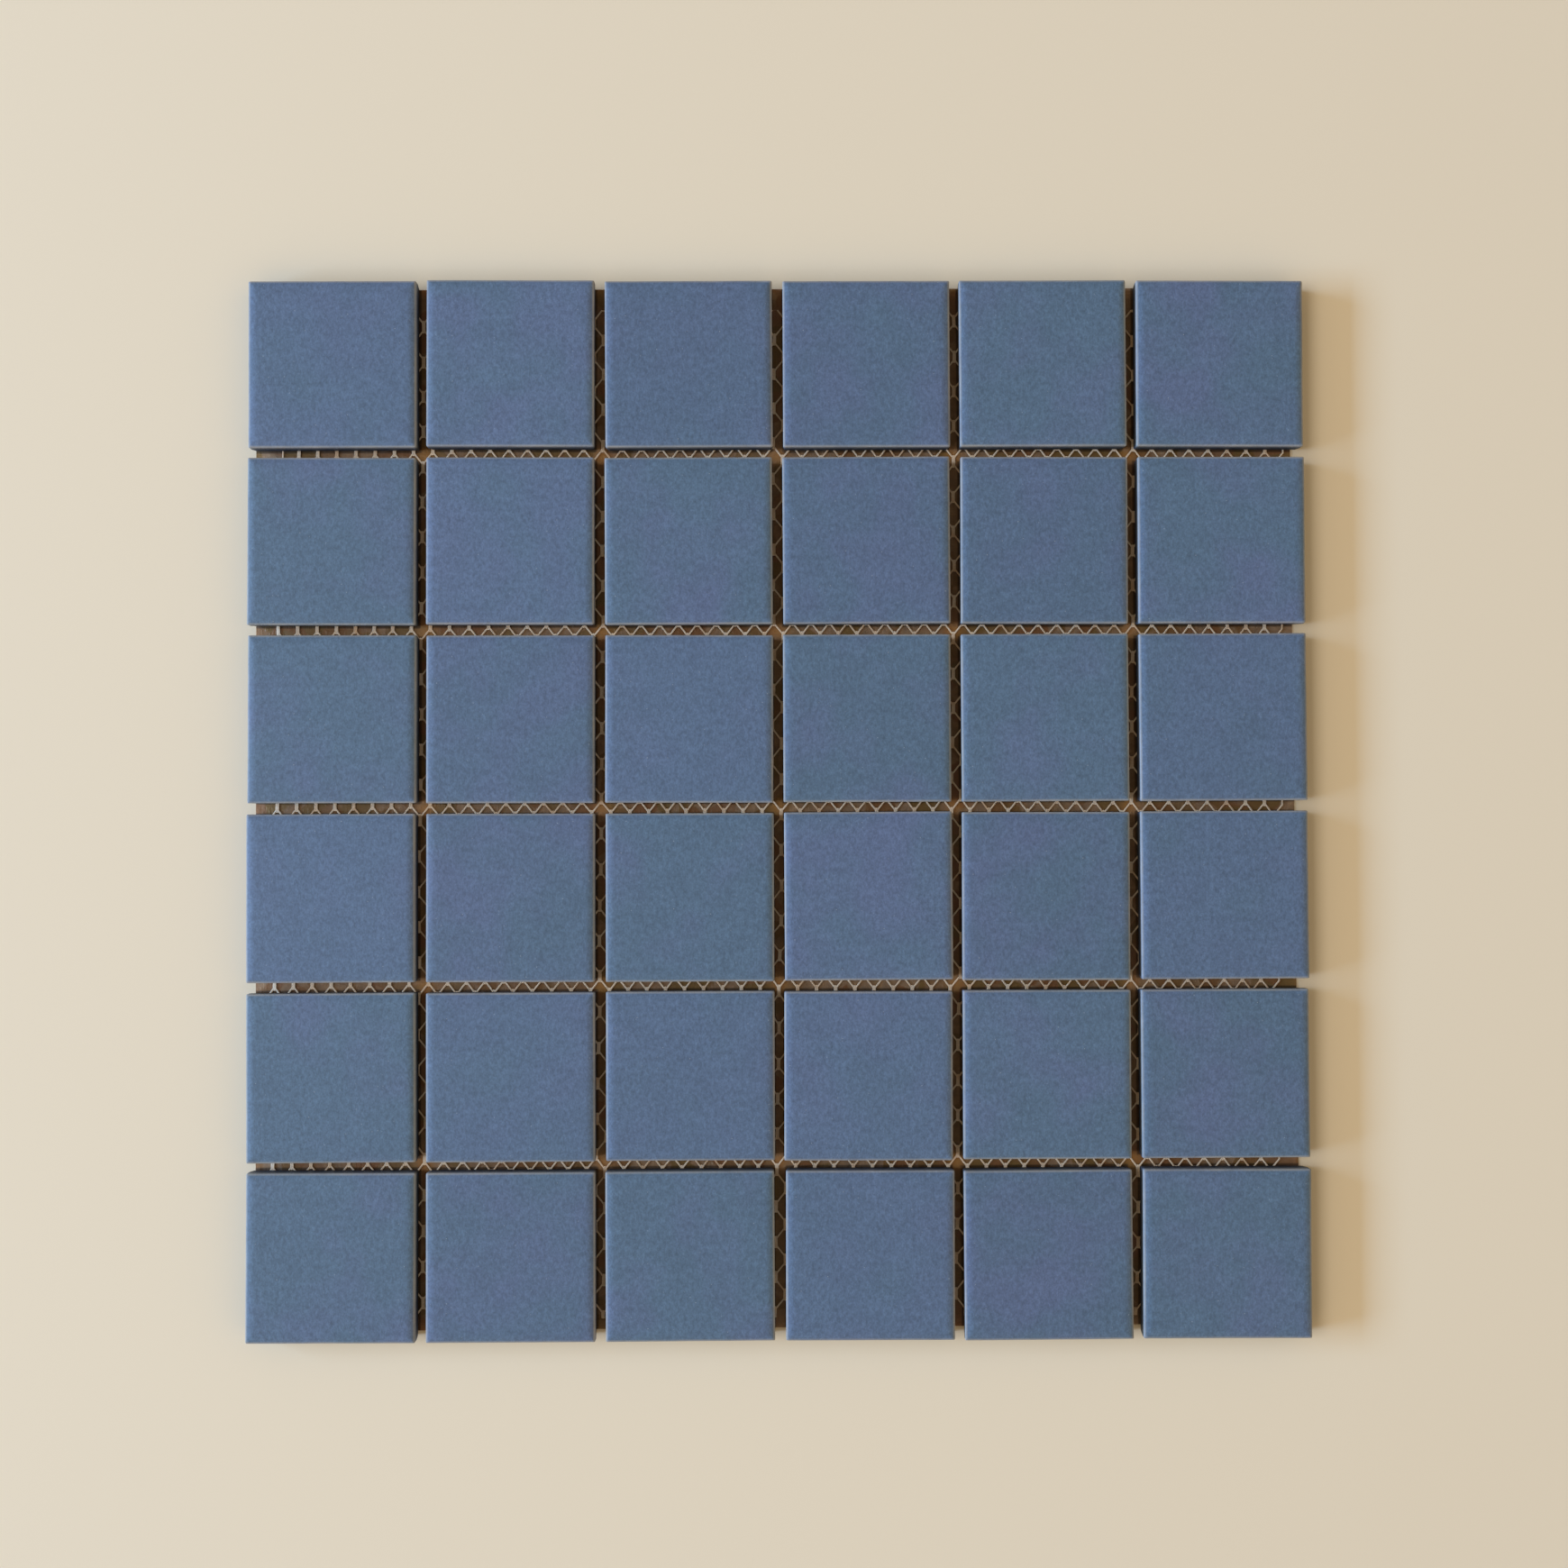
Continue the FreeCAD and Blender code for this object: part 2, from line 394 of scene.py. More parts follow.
# %% Material helper
class Finish:
    """A material under construction. It starts with one shader, whose sockets the caller sets."""

    def __init__(self, name, **constants):
        self.material = bpy.data.materials.new(name)
        self.material.use_nodes = True
        self.tree = self.material.node_tree
        self.shader = self.tree.nodes["Principled BSDF"]
        for socket, value in constants.items():
            self.shader.inputs[socket.replace("_", " ")].default_value = value
        self.place = self.add("TexCoord").outputs["Object"]

    def add(self, kind, sockets=None, **settings):
        """Adds a node, makes its settings, and fills or links its sockets."""
        made = self.tree.nodes.new("ShaderNode" + kind)
        for name, value in settings.items():
            setattr(made, name, value)
        for name, value in (sockets or {}).items():
            self.fill(made.inputs[name], value)
        return made

    def fill(self, socket, value):
        """Links an output to a socket, or writes a plain value into it."""
        if isinstance(value, bpy.types.NodeSocket):
            self.tree.links.new(value, socket)
        else:
            socket.default_value = value

    def attribute(self, name):
        """The numbers that a mesh keeps under a name."""
        return self.add("Attribute", attribute_name=name).outputs["Fac"]

    def noise(self, size, detail=2.0, stretch=(1, 1, 1)):
        """Soft random spots of about the given size in metres, as numbers round 0.5."""
        stretched = self.add("Mapping", {"Vector": self.place, "Scale": stretch}).outputs["Vector"]
        sockets = {"Vector": stretched, "Scale": 1 / size, "Detail": detail}
        return self.add("TexNoise", sockets).outputs["Fac"]

    def blend(self, amount, low, high):
        """low where amount is 0 and high where it is 1, for colours."""
        made = self.add("Mix", data_type="RGBA")
        self.fill(made.inputs[0], amount)
        self.fill(made.inputs[6], low)
        self.fill(made.inputs[7], high)
        return made.outputs[2]

    def span(self, value, low, high, new_low=0.0, new_high=1.0):
        """Carries the range from low to high over to a new range, and stops at its ends."""
        sockets = {"Value": value, "From Min": low, "From Max": high, "To Min": new_low, "To Max": new_high}
        return self.add("MapRange", sockets).outputs["Result"]

    def combine(self, operation, first, second):
        """One sum or product of two numbers."""
        made = self.add("Math", operation=operation)
        self.fill(made.inputs[0], first)
        self.fill(made.inputs[1], second)
        return made.outputs[0]

    def brighten(self, colour, factor):
        """Makes a colour lighter or darker by a factor."""
        sockets = {"Color": colour, "Hue": 0.5, "Saturation": 1.0, "Value": factor}
        return self.add("HueSaturation", sockets).outputs["Color"]

    def relief(self, height, depth):
        """Tilts the surface as if it rose by depth, in metres, where height goes from 0 to 1."""
        bump = self.add("Bump", {"Height": height, "Distance": depth, "Strength": 1.0})
        self.fill(self.shader.inputs["Normal"], bump.outputs["Normal"])


def dress(pieces, finish):
    """Gives one material to several pieces."""
    for piece in pieces:
        piece.data.materials.clear()
        piece.data.materials.append(finish.material)


# %% [markdown]
# Unglazed blue porcelain
#
# The body is coloured right through, so the sides have the same blue as the face. The fired surface is
# matte with a fine grain, because it is pressed powder. The sides are darkened as painted shade, since
# little light reaches them in the joints. The blue drifts slowly towards violet and towards green over a
# tile, as pigment does in a kiln, and a few pale grains show. The arris is paler all round: partly wear
# where tiles have knocked together in the box, and partly a painted highlight.

# %% Porcelain
BLUE = (0.081, 0.132, 0.222, 1)
VIOLET_BLUE = (0.090, 0.131, 0.233, 1)
GREEN_BLUE = (0.077, 0.134, 0.210, 1)
# Partly wear and partly a painted highlight along the arris
WORN_AND_HIGHLIT_EDGE = (0.370, 0.355, 0.315, 1)
PALE_GRAIN = (0.36, 0.41, 0.46, 1)
# Painted shade on the tiles' sides: their colour is kept to this share
SIDE_PAINTED_SHADE = 0.4
GRAIN_SIZE = 0.4 * MM
CLUMP_SIZE = 1.1 * MM
CLOUD_SIZE = 5 * MM
DRIFT_SIZE = 22 * MM
WEAR_SIZE = 9 * MM
PALE_GRAIN_SPACING = 1.5 * MM
GRAIN_RELIEF = 0.03 * MM


def porcelain():
    """Grain, drift of hue, pale grains, an arris paler from wear and painted highlight, and painted shade on
    the sides, over one matte body colour.
    """
    finish = Finish("unglazed_blue_porcelain", Roughness=0.62, Specular_IOR_Level=0.4)
    grain = finish.noise(GRAIN_SIZE, detail=3, stretch=(1, 0.7, 1))
    clump = finish.noise(CLUMP_SIZE, detail=2, stretch=(1, 0.7, 1))
    cloud = finish.noise(CLOUD_SIZE)
    drift = finish.noise(DRIFT_SIZE)
    hue = finish.combine("MULTIPLY", finish.attribute("hue_drift"), 0.18)
    toward_violet = finish.span(finish.combine("ADD", drift, hue), 0.35, 0.75)
    toward_green = finish.span(finish.combine("SUBTRACT", drift, hue), 0.62, 0.3)
    colour = finish.blend(toward_violet, BLUE, VIOLET_BLUE)
    colour = finish.blend(toward_green, colour, GREEN_BLUE)
    tone = finish.span(grain, 0.3, 0.7, 0.82, 1.18)
    tone = finish.combine("MULTIPLY", tone, finish.span(clump, 0.3, 0.7, 0.86, 1.14))
    tone = finish.combine("MULTIPLY", tone, finish.span(cloud, 0.3, 0.7, 0.95, 1.05))
    depth = finish.span(finish.attribute("depth_of_colour"), -1, 1, 0.96, 1.04)
    tone = finish.combine("MULTIPLY", tone, depth)
    # Painted shade on the sides below the arris, where little light reaches in the joints
    painted_side_shade = finish.span(finish.attribute("painted_shade_side"), 0, 1, 1, SIDE_PAINTED_SHADE)
    colour = finish.brighten(colour, finish.combine("MULTIPLY", tone, painted_side_shade))
    cells = finish.add("TexVoronoi", {"Vector": finish.place, "Scale": 1 / PALE_GRAIN_SPACING})
    chosen = finish.add("SeparateColor", {"Color": cells.outputs["Color"]}).outputs["Red"]
    speck = finish.span(cells.outputs["Distance"], 0.10, 0.05)
    speck = finish.combine("MULTIPLY", speck, finish.span(chosen, 0.6, 1.0, 0.0, 0.8))
    colour = finish.blend(speck, colour, PALE_GRAIN)
    # The arris is made paler in patches: partly wear, partly painted highlight
    patchy = finish.span(finish.noise(WEAR_SIZE), 0.3, 0.7, 0.28, 0.55)
    wear_and_highlight = finish.combine("MULTIPLY", finish.attribute("arris"), patchy)
    colour = finish.blend(wear_and_highlight, colour, WORN_AND_HIGHLIT_EDGE)
    finish.fill(finish.shader.inputs["Base Color"], colour)
    finish.relief(finish.combine("ADD", grain, clump), GRAIN_RELIEF)
    return finish


dress(tiles, porcelain())
print("porcelain on", len(tiles), "tiles")

# %% [markdown]
# The net
#
# The net is a warp-knitted one with six-sided meshes. Pairs of threads are knitted together for a
# short stretch, the pillar, then part, and each leans over to meet its other neighbour. So one thread
# runs to and fro between two neighbouring lines of pillars, and its path is a wave with flat tops and
# bottoms. All threads are copies of two such waves, one swinging right and one swinging left, and each
# is a path that carries a small flattened section. The knitted stitches fill each pillar to a flat
# bar that runs a little into both forks, so each pillar of two threads gets a short bar as well.
# Geometry Nodes could instance one mesh of the net, but the copies would all be alike: computed in
# one array, they can follow the slow pull and drift of a net that was smoothed down by hand.

# %% Thread paths
PILLAR_SPACING = 5.49 * MM
ROW_SPACING = 5.125 * MM
PILLAR_LENGTH = 2.3 * MM
PILLAR_REACH = 0.26 * MM
THREAD_WIDTH = 0.50 * MM
THREAD_HEIGHT = 0.22 * MM
BAR_STATIONS = np.array([-1.75, -1.35, 1.35, 1.75]) * MM
BAR_WIDTHS = np.array([0.70, 1.02, 1.02, 0.70]) * MM

net_outline = node_points("backing_net")
NET_MIDDLE_Z = (net_outline[:, 2].min() + net_outline[:, 2].max()) / 2


def thread_wave(rows, swing):
    """The path of one thread over a number of rows, as an array of x, y and z.

    In each row the thread lies straight along its own side of the pillar, and then crosses to the
    next pillar in a straight line, so the two ends of each pillar are all the points it needs.
    """
    row = np.arange(rows)[:, None]
    odd = row % 2
    home = swing * odd * PILLAR_SPACING / 2
    side = swing * (1 - 2 * odd) * PILLAR_REACH
    along = row * ROW_SPACING + np.array([-0.5, 0.5]) * PILLAR_LENGTH
    return np.stack(np.broadcast_arrays(home + side, along, NET_MIDDLE_Z), axis=-1).reshape(-1, 3)


def stitch_bars(rows):
    """The bars of stitches along one thread that swings right: short straight paths, one in each row.

    A bar lies where the thread is at home in that row, and its stations are spread about the row.
    """
    row = np.arange(rows)[:, None]
    home = (row % 2) * PILLAR_SPACING / 2
    along = row * ROW_SPACING + BAR_STATIONS
    return np.stack(np.broadcast_arrays(home, along, NET_MIDDLE_Z), axis=-1)


# %% [markdown]
# Pull of the net
#
# A net that is smoothed down by hand is never quite straight. A Lattice modifier could bend it, but
# here every thread is an array of points, so a formula for how far each point is pulled does it at
# once, and the same formula carries the threads and the bars.

# %% Pull of the net
FIRST_PILLAR = (0.81 * MM, -1.95 * MM)
COLUMN_LEAN = 0.0120
COLUMN_FAN = 0.00002 / MM
COLUMN_BOW = 0.30 * MM
ROW_CLIMB = 0.0039
ROW_BOW = 1.04 * MM
BOW_REACH = 100 * MM
HAND_DRIFT = 0.5 * MM
DRIFT_LENGTH = 45 * MM
NET_SEED = 48


def pulled(points):
    """Pulls the straight net to the way that it was smoothed down by hand.

    Columns lean to the right, spread at the far end and bow, and rows climb to the right and sag
    towards both sides. Each bow grows with the square of the distance from the middle, and the spread
    with x times y. A small slow wave is added to both.
    """
    x, y = points[..., 0], points[..., 1]
    along = (COLUMN_LEAN + COLUMN_FAN * x) * y - COLUMN_BOW * (y / BOW_REACH) ** 2
    climb = ROW_CLIMB * x - ROW_BOW * (x / BOW_REACH) ** 2
    chance = np.random.default_rng(NET_SEED)
    along = along + slow_wave(points, DRIFT_LENGTH, HAND_DRIFT, chance)
    climb = climb + slow_wave(points, DRIFT_LENGTH, HAND_DRIFT, chance)
    return np.stack([x + along, y + climb, points[..., 2]], axis=-1)


# %% [markdown]
# Cut the threads to the outline
#
# The net is cut straight through its meshes on three sides, and on the right it ends at the last
# thread that is whole. A Boolean modifier could cut it, and would be slow on so many threads. So each
# path is cut where it crosses the outline, before it is given its section.

# %% Threads cut to the net's outline
def depth_inside(points):
    """How far each point lies inside the net's four-cornered outline, and below zero outside it.

    That is the least of its distances to the sides, each counted to the left, going anticlockwise.
    """
    corners = np.unique(net_outline[:, :2].round(6), axis=0)
    middle = corners.mean(axis=0)
    order = np.argsort(np.arctan2(*(corners - middle).T[::-1]))
    corners = corners[order]
    depths = []
    for start, end in zip(corners, np.roll(corners, -1, axis=0)):
        side = (end - start) / np.linalg.norm(end - start)
        away = points[..., :2] - start
        depths.append(side[0] * away[..., 1] - side[1] * away[..., 0])
    return np.min(depths, axis=0)


def cut_to_outline(paths):
    """Draws the first point past the outline back to it, and tells which points are then on the net.

    The thread crosses the outline at the share depth / (depth + distance past it) of that stretch.
    """
    depth = depth_inside(paths)
    paths, on_net = paths.copy(), depth > 0
    for here, there in ((slice(1, None), slice(None, -1)), (slice(None, -1), slice(1, None))):
        crosses = (depth[:, here] <= 0) & (depth[:, there] > 0)
        inner = depth[:, there][crosses]
        share = inner / (inner - depth[:, here][crosses])
        start = paths[:, there][crosses]
        paths[:, here][crosses] = start + share[:, None] * (paths[:, here][crosses] - start)
        on_net[:, here] |= crosses
    return paths, on_net


def whole_at_the_right(paths):
    """Which threads, with a partner on their right, stay left of the outline's right-hand edge."""
    edge = net_outline[net_outline[:, 0] > 0]
    edge = edge[np.argsort(edge[:, 1])]
    edge_x = np.interp(paths[..., 1], edge[:, 1], edge[:, 0])
    return (paths[..., 0] + 2 * PILLAR_REACH < edge_x).all(axis=1)


def thread_tubes(paths, widths):
    """Carries a four-sided section along each path, and closes each cut end.

    A ring's points are the path's point plus the cosine of an angle times half the width, sideways,
    and its sine times half the height, upwards.
    """
    count, length = paths.shape[:2]
    heading = np.gradient(paths, axis=1)
    paths, on_net = cut_to_outline(paths)
    sideways = np.stack([heading[..., 1], -heading[..., 0], np.zeros((count, length))], axis=-1)
    sideways /= np.linalg.norm(sideways, axis=-1, keepdims=True)
    angle = np.arange(4) * math.pi / 2
    across = (sideways * widths[:, None] / 2)[:, :, None, :] * np.cos(angle)[:, None]
    upwards = np.array([0.0, 0.0, THREAD_HEIGHT / 2]) * np.sin(angle)[:, None]
    points = (paths[:, :, None, :] + across + upwards).reshape(-1, 3)

    ring = np.arange(count * length * 4).reshape(count, length, 4)
    kept = on_net[:, :-1] & on_net[:, 1:]
    following = np.roll(ring, -1, axis=2)
    skin = np.stack([ring[:, :-1], ring[:, 1:], following[:, 1:], following[:, :-1]], axis=-1)[kept]
    padded = np.pad(kept, ((0, 0), (1, 1)))
    starts = ring[padded[:, 1:] & ~padded[:, :-1]]
    ends = ring[padded[:, :-1] & ~padded[:, 1:]][:, ::-1]
    faces = np.concatenate([skin.reshape(-1, 4), starts, ends])
    used, renumbered = np.unique(faces, return_inverse=True)
    return points[used], renumbered.reshape(-1, 4)


def net_piece():
    """Every thread and every bar of stitches of the net, as one piece."""
    half_width, half_height = np.abs(net_outline[:, :2]).max(axis=0)
    columns_aside = int(half_width / PILLAR_SPACING) + 2
    rows_below = 2 * (int(half_height / (2 * ROW_SPACING)) + 1)
    columns = np.arange(-columns_aside, columns_aside + 1)
    rows = 2 * rows_below + 1
    shifts = np.zeros((len(columns), 1, 3))
    shifts[:, 0, 0] = FIRST_PILLAR[0] + columns * PILLAR_SPACING
    shifts[:, 0, 1] = FIRST_PILLAR[1] - rows_below * ROW_SPACING
    strips = []
    for swing in (1, -1):
        threads = pulled(thread_wave(rows, swing) + shifts)
        whole = whole_at_the_right(threads)
        strips.append((threads[whole], np.full(2 * rows, THREAD_WIDTH)))
        print(whole.sum(), "threads that swing", "right" if swing == 1 else "left")
        if swing == 1:
            bars = pulled(stitch_bars(rows) + shifts[whole][:, None])
            paired = np.ones(bars.shape[:2], dtype=bool)
            paired[-1, 1::2] = False  # here the last thread on the right has no partner
            strips.append((bars[paired], BAR_WIDTHS))
    points, faces = [], []
    for paths, widths in strips:
        strip_points, strip_faces = thread_tubes(paths, widths)
        faces.append(strip_faces + sum(len(array) for array in points))
        points.append(strip_points)
    piece = make_piece("net", np.concatenate(points), np.concatenate(faces), ["backing_net"])
    piece.data.set_sharp_from_angle(angle=SHARP_ANGLE)
    return piece


net = net_piece()
print("net triangles:", len(net.data.polygons) * 2)

# %% [markdown]
# Thread
#
# The threads are off-white nylon, dulled with glue. A little warm tint is enough at half a
# millimetre, but they aren't even: where the glue has soaked in they turn amber.

# %% Net finish
NYLON = (0.98, 0.83, 0.65, 1)
GLUED_NYLON = (0.84, 0.60, 0.39, 1)
SOAKED_SIZE = 7 * MM
SHADE_SIZE = 0.5 * MM
FIBRE_SIZE = 0.25 * MM
FIBRE_RELIEF = 0.03 * MM


def nylon():
    """Off-white thread that turns amber in patches."""
    finish = Finish("glued_nylon_thread", Roughness=0.7, Specular_IOR_Level=0.3)
    soaked = finish.span(finish.noise(SOAKED_SIZE), 0.45, 0.7)
    colour = finish.blend(soaked, NYLON, GLUED_NYLON)
    colour = finish.brighten(colour, finish.span(finish.noise(SHADE_SIZE), 0.3, 0.7, 0.9, 1.05))
    finish.fill(finish.shader.inputs["Base Color"], colour)
    finish.relief(finish.noise(FIBRE_SIZE), FIBRE_RELIEF)
    return finish


dress([net], nylon())

# %% [markdown]
# Kraft paper
#
# The paper is the lowest layer. From above it shows only in the joints, wet with glue. Its back is
# bare, and is what lies on the floor. It is a thin closed slab made of two grids and a rim. The top
# grid is slightly cockled by the glue, and the back grid is pressed up a little under each joint,
# where no tile pushed it down. The grids' lines crowd together in the joints, where the paper is
# seen, so that a few numbers kept on the points can say where two joints cross, where the glue
# gathered, and how far each point lies from the tiles' feet, along which the paper gets painted shade.

# %% Paper mesh
LINES_PER_TILE = 26
LINE_CROWDING = 0.92
COCKLE = 0.03 * MM
COCKLE_LENGTH = 9 * MM
PAPER_SEED = 7
JOINT_LIFT = 0.03 * MM
JOINT_LIFT_END = 3.0 * MM
JOINT_LIFT_RUN = 2.5 * MM
CROSSING_REACH = 2.4 * MM
FAR_FROM_TILES = 5 * MM

paper_centre, paper_turn = square_place("backing_paper")
PAPER_SIDE = square_side("backing_paper")
PAPER_LOW_Z = node_points("backing_paper")[:, 2].min()
PAPER_HIGH_Z = node_points("backing_paper")[:, 2].max()


def joint_lines(axis):
    """The middles of the joints across x or y: half way between neighbouring rows of tiles."""
    centres = np.sort([centre[axis] for centre, turn in places.values()])
    rows = centres.reshape(round(math.sqrt(len(places))), -1).mean(axis=1)
    return (rows[:-1] + rows[1:]) / 2


def from_joint(plan, axis):
    """How far points lie from the nearest joint's middle, measured along x or y."""
    return np.abs(plan[..., axis, None] - joint_lines(axis)).min(axis=-1)


def grid_lines(axis):
    """Lines across the paper that crowd in the joints: an even step less a sine of one tile's pitch."""
    joints = joint_lines(axis) - paper_centre[axis]
    pitch = np.diff(joints).mean()
    steps = np.arange(LINES_PER_TILE * (len(joints) + 1) + 1) / LINES_PER_TILE
    even = joints[0] + (steps - 1) * pitch
    wave = np.sin(2 * math.pi * steps) * pitch / (2 * math.pi)
    return np.unique(np.clip(even - LINE_CROWDING * wave, -PAPER_SIDE / 2, PAPER_SIDE / 2))


def foot_gap(plan):
    """How far points lie from the nearest tile's foot, in plan. It is below nothing under a tile."""
    nearest = np.full(plan.shape[:-1], np.inf)
    for centre, turn in places.values():
        away = np.abs(turned(plan - centre, -turn)).max(axis=-1)
        nearest = np.minimum(nearest, away - (TILE_SIDE / 2 - FOOT_INSET))
    return nearest


def paper_piece():
    """A closed slab from two grids: the front with its cockle and the back pressed up at the joints."""
    plan = np.stack(np.meshgrid(grid_lines(0), grid_lines(1), indexing="ij"), axis=-1)
    plan = turned(plan, paper_turn) + paper_centre
    chance = np.random.default_rng(PAPER_SEED)
    front_z = PAPER_HIGH_Z - COCKLE + slow_wave(plan, COCKLE_LENGTH, COCKLE, chance)
    nearest_joint = np.minimum(from_joint(plan, 0), from_joint(plan, 1))
    back_z = PAPER_LOW_Z + JOINT_LIFT * np.clip((JOINT_LIFT_END - nearest_joint) / JOINT_LIFT_RUN, 0, 1)
    front = np.concatenate([plan, front_z[..., None]], axis=-1).reshape(-1, 3)
    back = np.concatenate([plan, back_z[..., None]], axis=-1).reshape(-1, 3)

    numbers = np.arange(len(front)).reshape(plan.shape[:2])
    cells = np.stack([numbers[:-1, :-1], numbers[1:, :-1], numbers[1:, 1:], numbers[:-1, 1:]], axis=-1)
    cells = cells.reshape(-1, 4)
    near, right = numbers[:-1, 0], numbers[-1, :-1]
    far, left = numbers[:0:-1, -1], numbers[0, :0:-1]
    rim = np.concatenate([near, right, far, left])
    following = np.roll(rim, -1)
    edge = np.stack([rim + len(front), following + len(front), following, rim], axis=-1)
    faces = np.concatenate([cells, cells[:, ::-1] + len(front), edge])
    points = np.concatenate([front, back])
    piece = make_piece("kraft_paper", points, faces, ["backing_paper"])
    piece.data.set_sharp_from_angle(angle=SHARP_ANGLE)

    crossing = np.exp(-(from_joint(plan, 0) ** 2 + from_joint(plan, 1) ** 2) / CROSSING_REACH**2)
    for name, values, at_back in (
        ("upper_side", np.ones(plan.shape[:2]), 0.0),
        ("crossing", crossing, 0.0),
        ("foot_gap", foot_gap(plan), FAR_FROM_TILES),
    ):
        store_attribute(piece.data, name, np.concatenate([values.ravel(), np.full(len(back), at_back)]))
    return piece


paper = paper_piece()
print("paper triangles:", len(paper.data.polygons) * 2)

# %% [markdown]
# Kraft paper and glue
#
# Kraft paper is unbleached wood fibre: a mid brown with short darker and lighter fibres lying every
# way. On its upper side the glue has soaked in and darkened it, and has dried in a thin film. Along the
# tiles' feet the paper is darkened further, as painted shade. Each mesh of the net holds a pool of its
# own: some are olive, some are reddish and some hardly have any glue, so the colour changes from cell
# to cell of a Voronoi pattern of the meshes' size. Where two joints cross, the glue is thick and amber.

# %% Paper finish
DRY_KRAFT = (0.46, 0.30, 0.18, 1)
KRAFT = (0.290, 0.180, 0.100, 1)
KRAFT_FIBRE = (0.38, 0.255, 0.155, 1)
OLIVE_GLUE = (0.180, 0.102, 0.024, 1)
RED_GLUE = (0.220, 0.092, 0.030, 1)
AMBER_GLUE = (0.420, 0.200, 0.050, 1)
# Painted shade: the paper darkens between these distances from a tile's foot
FOOT_PAINTED_SHADE = (0.40 * MM, 0.80 * MM)
PULP_SIZE = 0.6 * MM
MOTTLE_SIZE = 3 * MM
POOL_SIZE = 5.3 * MM
PAPER_RELIEF = 0.08 * MM


def kraft():
    """Fibres in two directions, with pools of glue over them on the upper side, and painted shade along the
    tiles' feet.
    """
    finish = Finish("glued_kraft_paper", Coat_IOR=1.45, Coat_Roughness=0.2)
    along = finish.noise(PULP_SIZE, stretch=(0.2, 1, 1))
    across = finish.noise(PULP_SIZE, stretch=(1, 0.25, 1))
    fibre = finish.combine("MULTIPLY", finish.span(along, 0.4, 0.7), finish.span(across, 0.35, 0.7))
    upper = finish.attribute("upper_side")
    colour = finish.blend(finish.combine("MULTIPLY", fibre, 0.6), KRAFT, KRAFT_FIBRE)
    colour = finish.blend(upper, finish.blend(fibre, DRY_KRAFT, KRAFT_FIBRE), colour)
    mottle = finish.noise(MOTTLE_SIZE, detail=3)
    colour = finish.brighten(colour, finish.span(mottle, 0.3, 0.7, 0.75, 1.2))
    cells = finish.add("TexVoronoi", {"Vector": finish.place, "Scale": 1 / POOL_SIZE}, feature="SMOOTH_F1")
    cells.inputs["Smoothness"].default_value = 0.25
    chance = finish.add("SeparateColor", {"Color": cells.outputs["Color"]})
    pool = finish.combine("MULTIPLY", finish.span(chance.outputs["Red"], 0.2, 0.6), upper)
    glue = finish.blend(finish.span(chance.outputs["Green"], 0.3, 0.7), OLIVE_GLUE, RED_GLUE)
    colour = finish.blend(finish.combine("MULTIPLY", pool, 0.85), colour, glue)
    colour = finish.blend(finish.combine("MULTIPLY", finish.attribute("crossing"), 0.7), colour, AMBER_GLUE)
    # Painted shade along the tiles' feet, and the rest of the paper a little lighter
    colour = finish.brighten(colour, finish.span(finish.attribute("foot_gap"), *FOOT_PAINTED_SHADE, 0.35, 1.1))
    finish.fill(finish.shader.inputs["Base Color"], colour)
    finish.fill(finish.shader.inputs["Roughness"], finish.span(pool, 0, 1, 0.75, 0.45))
    finish.fill(finish.shader.inputs["Coat Weight"], finish.combine("MULTIPLY", pool, 0.3))
    finish.relief(finish.combine("ADD", fibre, mottle), PAPER_RELIEF)
    return finish


dress([paper], kraft())

# %% [markdown]
# Floor, light and camera
#
# A reusable part is shown on something plain. The floor is a pale matte plane. The light is that of a
# window on the left: a low lamp for the distance that it shows and a high one for its sky, with a
# warm light from the room all round. It is the low lamp that draws the edges of the tiles and
# keeps the upright joints dark while the level ones are lit along their length.

# %% Floor
FLOOR_COLOUR = (0.71, 0.64, 0.50, 1)
FLOOR_HALF = 4.0
FLOOR_DROP = 0.02 * MM

floor_mesh = bpy.data.meshes.new("floor")
corners = [(-1, -1), (1, -1), (1, 1), (-1, 1)]
floor_points = [(x * FLOOR_HALF, y * FLOOR_HALF, -FLOOR_DROP) for x, y in corners]
floor_mesh.from_pydata(floor_points, [], [(0, 1, 2, 3)])
floor = bpy.data.objects.new("floor", floor_mesh)
bpy.context.scene.collection.objects.link(floor)
floor_finish = Finish("pale_floor", Roughness=0.85, Base_Color=FLOOR_COLOUR)
floor_mesh.materials.append(floor_finish.material)

# %% [markdown]
# The window
#
# A window is an even bright rectangle, which is what an Area lamp is. Its power would have to be
# tried again after each change of its distance or height, so it is worked out from the light that
# the sheet should get.

# %% Lamps
LAMP_DISTANCE = 4.0
# Each lamp's name, elevation, width and height in metres, and colour
WINDOWS = (
    ("low_window", math.radians(17), 2.60, 0.66, (0.20, 0.34, 0.54)),
    ("high_window", math.radians(50), 2.20, 1.60, (0.26, 0.24, 0.215)),
)


